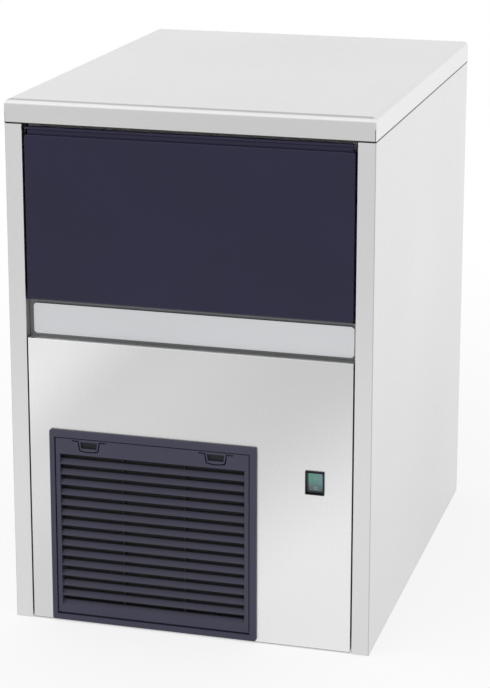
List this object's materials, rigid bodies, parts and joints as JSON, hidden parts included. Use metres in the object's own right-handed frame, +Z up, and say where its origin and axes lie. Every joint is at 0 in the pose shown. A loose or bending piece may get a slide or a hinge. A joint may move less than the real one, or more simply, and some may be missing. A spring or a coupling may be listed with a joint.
{
  "type": "ice machine",
  "caption": "Free-standing ice flaker: sheet-metal cabinet, flap door over an insulated bin, louvred air grille, rocker switch and an upright auger freezer behind.",
  "frame": {"origin": "centre of the bounding box's underside, on the plane the base pan stands on", "axes": "+Z up, -Y out of the front with the flap door, +X towards the machine's right side seen from the front"},
  "size_m": [0.47, 0.644, 0.685],
  "materials": {
    "stainless": "satin, finely brushed",
    "navy_gloss": "smooth, slightly glossy",
    "navy_matte": "moulded, fine grain",
    "trim_metal": "satin anodised",
    "black_plastic": "moulded",
    "switch_green": "tinted translucent lens",
    "liner_white": "smooth food-grade plastic",
    "foam": "rigid foam",
    "sleeve_foam": "closed-cell sleeve",
    "dark_steel": "smooth darker steel",
    "galvanised": "galvanised sheet",
    "coil_fins": "bare fins",
    "copper": "bare copper pipe",
    "black_paint": "gloss black enamel",
    "cast_metal": "as-cast, painted grey",
    "polished_steel": "turned and polished",
    "rubber_black": "moulded rubber",
    "hose_grey": "flexible hose",
    "filter_mesh": "woven plastic mesh",
    "brass_fitting": "machined brass",
    "grey_plastic": "moulded"
  },
  "bodies": {
    "cabinet": {"side_panel_left": "stainless", "side_panel_right": "stainless", "top_lid": "stainless", "front_panel": "stainless", "rear_panel": "stainless", "base_pan": "stainless", "sill_rail": "dark_steel", "grille_frame": "navy_matte", "trim_bar": "trim_metal", "switch_body": "black_plastic", "terminal_cover": "black_plastic", "cable_gland": "black_plastic", "drain_spigot": "black_plastic", "hinge_bushes": "black_plastic", "bin_liner": "liner_white", "ice_spout": "liner_white", "ice_head": "liner_white", "bin_drain": "liner_white", "tank_cover": "liner_white", "float_valve": "liner_white", "water_tank": "liner_white", "bin_insulation": "foam", "lid_insulation": "foam", "barrel_insulation": "sleeve_foam", "bin_shelf": "galvanised", "fan_shroud": "galvanised", "fan_bracket": "galvanised", "machine_stand": "galvanised", "condenser": "coil_fins", "filter_drier": "copper", "liquid_pipe": "copper", "discharge_pipe": "copper", "suction_pipe": "copper", "compressor": "black_paint", "fan_motor": "black_paint", "drive_motor": "black_paint", "gearbox": "cast_metal", "bearing_housing": "cast_metal", "freezer_barrel": "polished_steel", "ice_breaker": "polished_steel", "rear_screws": "polished_steel", "compressor_bolts": "polished_steel", "leg_inserts": "polished_steel", "probe_tube": "polished_steel", "compressor_grommets": "rubber_black", "drain_hose": "hose_grey", "water_hose": "hose_grey", "inlet_hose": "hose_grey", "inlet_valve": "brass_fitting", "electric_box": "grey_plastic", "electric_cover": "grey_plastic"},
    "door": {"door_panel": "navy_gloss", "hinge_pins": "black_paint"},
    "louvre": {"louvre_panel": "navy_matte", "air_filter": "filter_mesh"},
    "rocker": {"switch_rocker": "switch_green"},
    "fan": {"fan_blade": "black_plastic"},
    "auger_shaft": {"auger": "polished_steel", "ice_sweeper": "polished_steel"},
    "float": {"float_arm": "liner_white"}
  },
  "joints": [
    {"name": "door_flap", "type": "hinge", "parent": "cabinet", "child": "door", "pos_m": [0, -0.313, 0.6492], "axis": [-1, 0, 0], "range_deg": [0, 90]},
    {"name": "louvre_tilt", "type": "hinge", "parent": "cabinet", "child": "louvre", "pos_m": [-0.0477, -0.3195, 0.0154], "axis": [1, 0, 0], "range_deg": [0, 60]},
    {"name": "power_rocker", "type": "hinge", "parent": "cabinet", "child": "rocker", "pos_m": [0.164, -0.3175, 0.2225], "axis": [-1, 0, 0], "range_deg": [0, 8]},
    {"name": "fan_spin", "type": "hinge", "parent": "cabinet", "child": "fan", "pos_m": [-0.0477, -0.2187, 0.125], "axis": [0, 1, 0], "continuous": true},
    {"name": "auger_spin", "type": "hinge", "parent": "cabinet", "child": "auger_shaft", "pos_m": [0.107, 0.19, 0.3315], "axis": [0, 0, 1], "continuous": true},
    {"name": "float_swing", "type": "hinge", "parent": "cabinet", "child": "float", "pos_m": [-0.1555, 0.1348, 0.528], "axis": [0, -1, 0], "range_deg": [0, 12]}
  ]
}
